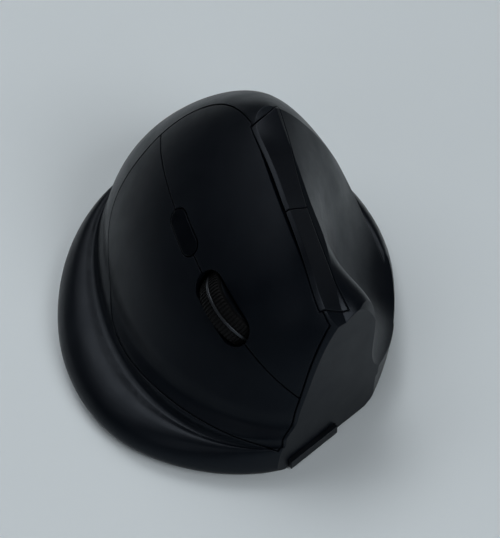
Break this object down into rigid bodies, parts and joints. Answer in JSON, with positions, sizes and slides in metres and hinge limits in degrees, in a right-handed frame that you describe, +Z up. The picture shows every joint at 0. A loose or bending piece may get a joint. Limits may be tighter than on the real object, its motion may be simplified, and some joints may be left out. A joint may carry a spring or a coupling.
{
  "type": "ergonomic mouse",
  "caption": "Right-handed upright wireless mouse with sloped finger keys, scroll wheel, thumb keys, flat nose, finger ledge and battery base.",
  "frame": {"origin": "on the desk, under the middle of the mouse", "axes": "+Z up, the nose points to -Y, the thumb side faces +X and the finger keys face -X"},
  "size_m": [0.0899, 0.1084, 0.0616],
  "materials": {
    "shell_plastic": "fine matte texture",
    "key_plastic": "fine matte texture",
    "trim_plastic": "satin",
    "base_plastic": "matte",
    "frame_plastic": "matte",
    "tyre_rubber": "matte, fine ribs",
    "glide_plastic": "slick",
    "steel": "brushed",
    "spring_metal": "bright",
    "board_green": "solder mask",
    "chip_black": "matte",
    "switch_plastic": "matte",
    "lens_clear": "clear",
    "cell_jacket": "printed sleeve, satin",
    "receiver_plastic": "matte with a steel plug"
  },
  "bodies": {
    "case": {"main_shell": "shell_plastic", "base_plate": "base_plastic", "glide_feet": "glide_plastic", "case_screws": "steel", "board_screws": "steel", "inner_frame": "frame_plastic", "hinge_rod": "steel", "wheel_post": "frame_plastic", "wheel_encoder": "switch_plastic", "button_board": "board_green", "index_switch": "switch_plastic", "middle_switch": "switch_plastic", "dpi_switch": "switch_plastic", "forward_switch": "switch_plastic", "back_switch": "switch_plastic", "side_board": "board_green", "dpi_guide": "frame_plastic", "battery": "cell_jacket", "plus_contact": "spring_metal", "minus_contact": "spring_metal", "main_board": "board_green", "controller_chip": "chip_black", "motion_sensor": "chip_black", "sensor_lens": "lens_clear", "power_switch_case": "switch_plastic"},
    "index_key": {"index_button": "key_plastic"},
    "middle_key": {"middle_button": "key_plastic"},
    "forward_key": {"forward_button": "trim_plastic"},
    "back_key": {"back_button": "trim_plastic"},
    "wheel": {"wheel_hub": "trim_plastic", "wheel_tyre": "tyre_rubber"},
    "dpi_key": {"dpi_button": "trim_plastic"},
    "power_knob": {"power_switch_knob": "trim_plastic"},
    "door": {"battery_door": "base_plastic"},
    "receiver": {"usb_receiver": "receiver_plastic"}
  },
  "joints": [
    {"name": "index_press", "type": "hinge", "parent": "case", "child": "index_key", "pos_m": [-0.00765, 0.01577, 0.03852], "axis": [0.676, -0.0647, 0.734], "range_deg": [0, 0.5], "stiffness_Nm_per_rad": 2, "springref_deg": -0.57},
    {"name": "middle_press", "type": "hinge", "parent": "case", "child": "middle_key", "pos_m": [-0.00765, 0.01577, 0.03852], "axis": [0.676, -0.0647, 0.734], "range_deg": [0, 0.5], "stiffness_Nm_per_rad": 2, "springref_deg": -0.57},
    {"name": "wheel_roll", "type": "hinge", "parent": "case", "child": "wheel", "pos_m": [-0.00418, -0.02657, 0.0316], "axis": [0.676, -0.0647, 0.734], "continuous": true},
    {"name": "dpi_press", "type": "slide", "parent": "case", "child": "dpi_key", "axis": [0.6972, 0.3786, -0.6088], "range_m": [0, 0.0003], "stiffness_N_per_m": 2000, "springref_m": -0.0003},
    {"name": "forward_press", "type": "slide", "parent": "case", "child": "forward_key", "axis": [-0.676, 0.0647, -0.734], "range_m": [0, 0.0003], "stiffness_N_per_m": 2000, "springref_m": -0.0003},
    {"name": "back_press", "type": "slide", "parent": "case", "child": "back_key", "axis": [-0.676, 0.0647, -0.734], "range_m": [0, 0.0003], "stiffness_N_per_m": 2000, "springref_m": -0.0003},
    {"name": "power_slide", "type": "slide", "parent": "case", "child": "power_knob", "axis": [1, 0, 0], "range_m": [0, 0.0026]},
    {"name": "door_hinge", "type": "hinge", "parent": "case", "child": "door", "pos_m": [0.014, 0.034, 0.0018], "axis": [1, 0, 0], "range_deg": [0, 75]},
    {"name": "receiver_pull", "type": "slide", "parent": "case", "child": "receiver", "axis": [0, 0, -1], "range_m": [0, 0.019]}
  ]
}
